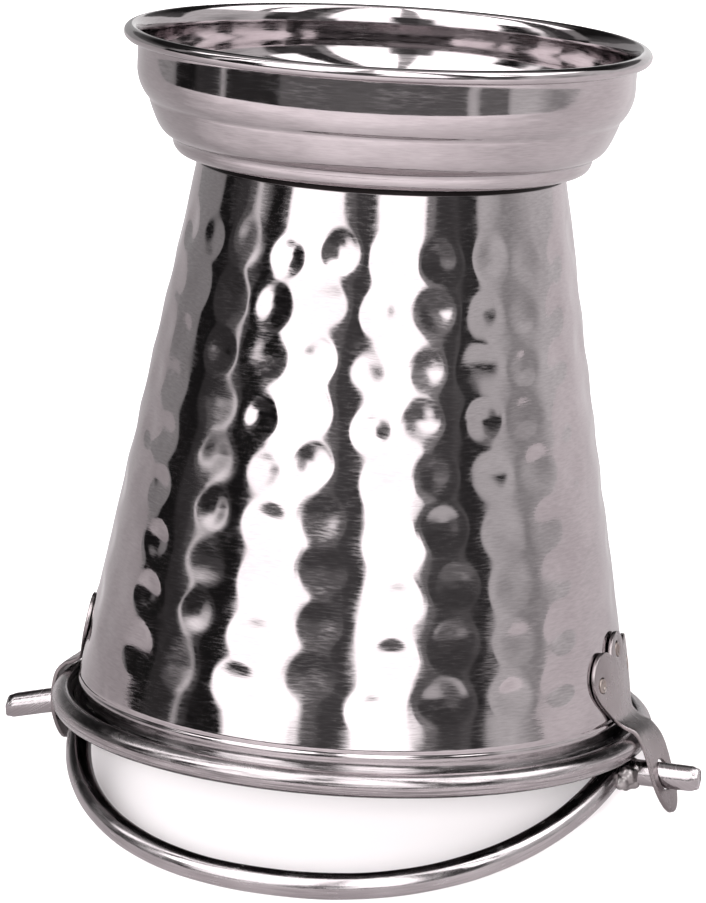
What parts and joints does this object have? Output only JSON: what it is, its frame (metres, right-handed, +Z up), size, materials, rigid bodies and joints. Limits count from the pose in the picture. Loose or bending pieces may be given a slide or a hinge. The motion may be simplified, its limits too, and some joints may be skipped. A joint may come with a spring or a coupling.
{
  "type": "hammered steel pail",
  "caption": "Tapered hammered-steel pail standing on its rolled mouth, with a bowl-shaped foot on top, welded ears and a swinging round-rod bail.",
  "frame": {"origin": "middle of the resting pail's box, on the floor it stands on; the pail's plane of symmetry is x = 0", "axes": "+Z up from the floor, +X along the bail's pivot axis, -Y towards the bail. The pail stands mouth down on the tips of its two ears and the back of its rim, so its own axis leans 11 degrees from +Z towards +Y"},
  "size_m": [0.2164, 0.2036, 0.2335],
  "materials": {
    "hammered_steel": "hand-hammered and polished stainless sheet with fine lines round it",
    "polished_steel": "spun stainless sheet, mirror bright inside",
    "stamped_steel": "stamped stainless plate, satin",
    "rod_steel": "drawn stainless rod, polished along its length",
    "wire_steel": "plain drawn wire",
    "spot_weld": "dull heat-tinted weld nugget",
    "weld_steel": "rough ground weld bead"
  },
  "bodies": {
    "pail": {"pail_body": "hammered_steel", "rim_wire": "wire_steel", "foot_bowl": "polished_steel", "foot_weld_1": "spot_weld", "foot_weld_2": "spot_weld", "foot_weld_3": "spot_weld", "foot_weld_4": "spot_weld", "ear_left": "stamped_steel", "ear_weld_left_1": "spot_weld", "ear_weld_left_2": "spot_weld", "ear_weld_left_3": "spot_weld", "ear_right": "stamped_steel", "ear_weld_right_1": "spot_weld", "ear_weld_right_2": "spot_weld", "ear_weld_right_3": "spot_weld"},
    "bail": {"bail_rod": "rod_steel", "pivot_pin_left": "rod_steel", "pivot_pin_right": "rod_steel", "bail_weld_left": "weld_steel", "bail_weld_right": "weld_steel"}
  },
  "joints": [
    {"name": "bail_swing", "type": "hinge", "parent": "pail", "child": "bail", "pos_m": [0, -0.01414, 0.01125], "axis": [1, 0, 0], "range_deg": [-16.5, 164.5]}
  ]
}
